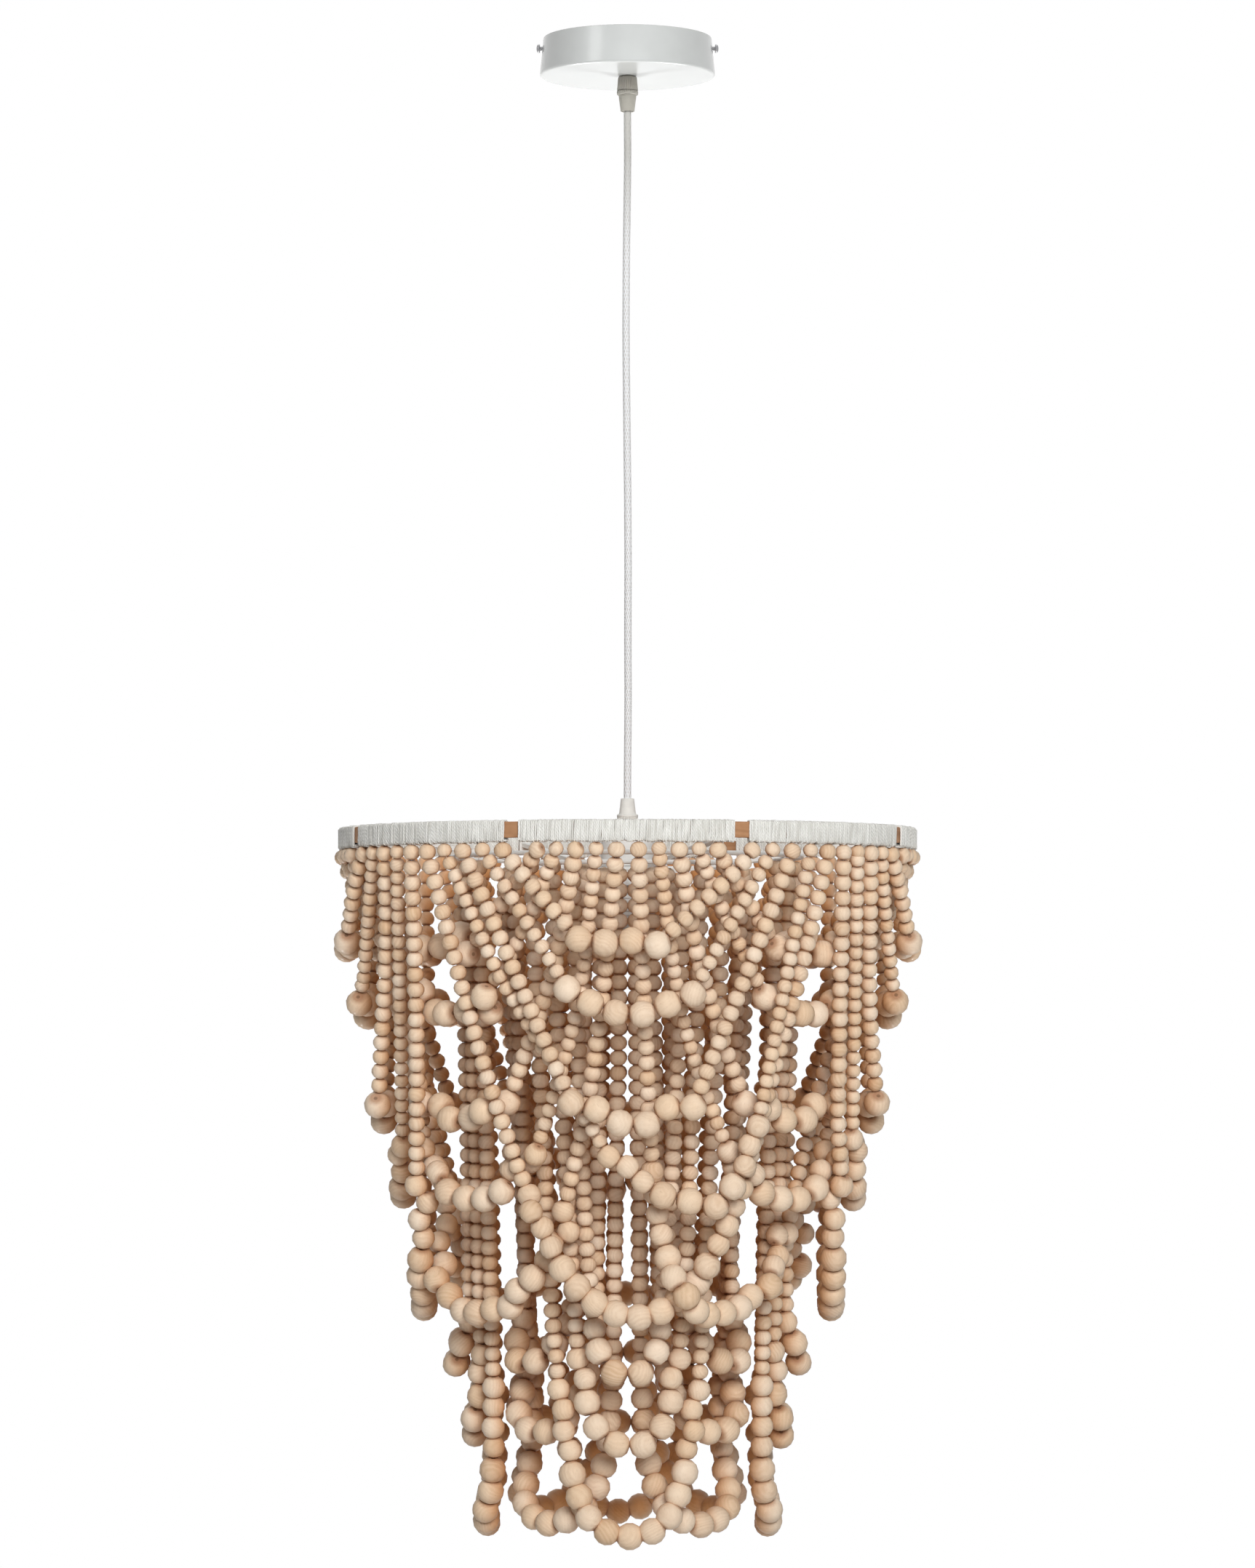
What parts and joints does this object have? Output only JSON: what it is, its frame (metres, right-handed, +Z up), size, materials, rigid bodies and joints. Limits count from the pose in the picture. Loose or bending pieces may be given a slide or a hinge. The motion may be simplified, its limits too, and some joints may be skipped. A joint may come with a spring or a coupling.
{
  "type": "beaded chandelier",
  "caption": "Pendant light: a shallow ceiling rose, a textile cord, and a yarn-wound hoop hung with nested, crossing swags of round wooden beads.",
  "frame": {"origin": "middle of the ceiling plane, on the top face of the ceiling bracket", "axes": "+Z up along the cord, -Y towards the pictured front, +X to the right seen from the front"},
  "size_m": [0.4107, 0.4112, 1.0409],
  "materials": {
    "rose_paint": "satin pale grey paint",
    "steel": "zinc plated",
    "grey_plastic": "matt warm grey",
    "white_plastic": "matt off-white",
    "textile_cord": "braided pale textile",
    "white_frame": "white paint",
    "brown_wood": "plain brown wood",
    "white_yarn": "wound white yarn",
    "pale_wood_beads": "unfinished pale wood"
  },
  "bodies": {
    "rose": {"ceiling_rose": "rose_paint", "ceiling_bracket": "steel", "side_screw_right": "steel", "side_screw_left": "steel", "terminal_block": "white_plastic", "grip_nut": "steel", "upper_grip_body": "grey_plastic", "upper_grip_cone": "grey_plastic"},
    "cord": {"power_cord": "textile_cord"},
    "shade": {"lower_grip_cone": "white_plastic", "lower_grip_body": "white_plastic", "lampholder_cap": "white_plastic", "lampholder_shell": "white_plastic", "lampholder_insert": "white_plastic", "shade_ring": "white_plastic", "hoop_frame": "white_frame", "hoop": "brown_wood", "inner_ring": "white_frame", "core_ring": "white_frame", "yarn_front": "white_yarn", "yarn_front_right": "white_yarn", "yarn_right": "white_yarn", "yarn_back_right": "white_yarn", "yarn_back": "white_yarn", "yarn_back_left": "white_yarn", "yarn_left": "white_yarn", "yarn_front_left": "white_yarn", "beads_front_upper": "pale_wood_beads", "beads_front_middle": "pale_wood_beads", "beads_front_lower": "pale_wood_beads", "beads_front_inner": "pale_wood_beads", "beads_front_right_upper": "pale_wood_beads", "beads_front_right_middle": "pale_wood_beads", "beads_front_right_lower": "pale_wood_beads", "beads_front_right_inner": "pale_wood_beads", "beads_right_upper": "pale_wood_beads", "beads_right_middle": "pale_wood_beads", "beads_right_lower": "pale_wood_beads", "beads_right_inner": "pale_wood_beads", "beads_back_right_upper": "pale_wood_beads", "beads_back_right_middle": "pale_wood_beads", "beads_back_right_lower": "pale_wood_beads", "beads_back_right_inner": "pale_wood_beads", "beads_back_upper": "pale_wood_beads", "beads_back_middle": "pale_wood_beads", "beads_back_lower": "pale_wood_beads", "beads_back_inner": "pale_wood_beads", "beads_back_left_upper": "pale_wood_beads", "beads_back_left_middle": "pale_wood_beads", "beads_back_left_lower": "pale_wood_beads", "beads_back_left_inner": "pale_wood_beads", "beads_left_upper": "pale_wood_beads", "beads_left_middle": "pale_wood_beads", "beads_left_lower": "pale_wood_beads", "beads_left_inner": "pale_wood_beads", "beads_front_left_upper": "pale_wood_beads", "beads_front_left_middle": "pale_wood_beads", "beads_front_left_lower": "pale_wood_beads", "beads_front_left_inner": "pale_wood_beads"}
  },
  "joints": [
    {"name": "cord_swing", "type": "hinge", "parent": "rose", "child": "cord", "pos_m": [0, 0, -0.048], "axis": [0, 1, 0], "range_deg": [-15, 15]},
    {"name": "shade_tilt", "type": "hinge", "parent": "cord", "child": "shade", "pos_m": [0, 0, -0.5319], "axis": [1, 0, 0], "range_deg": [-15, 15]}
  ]
}
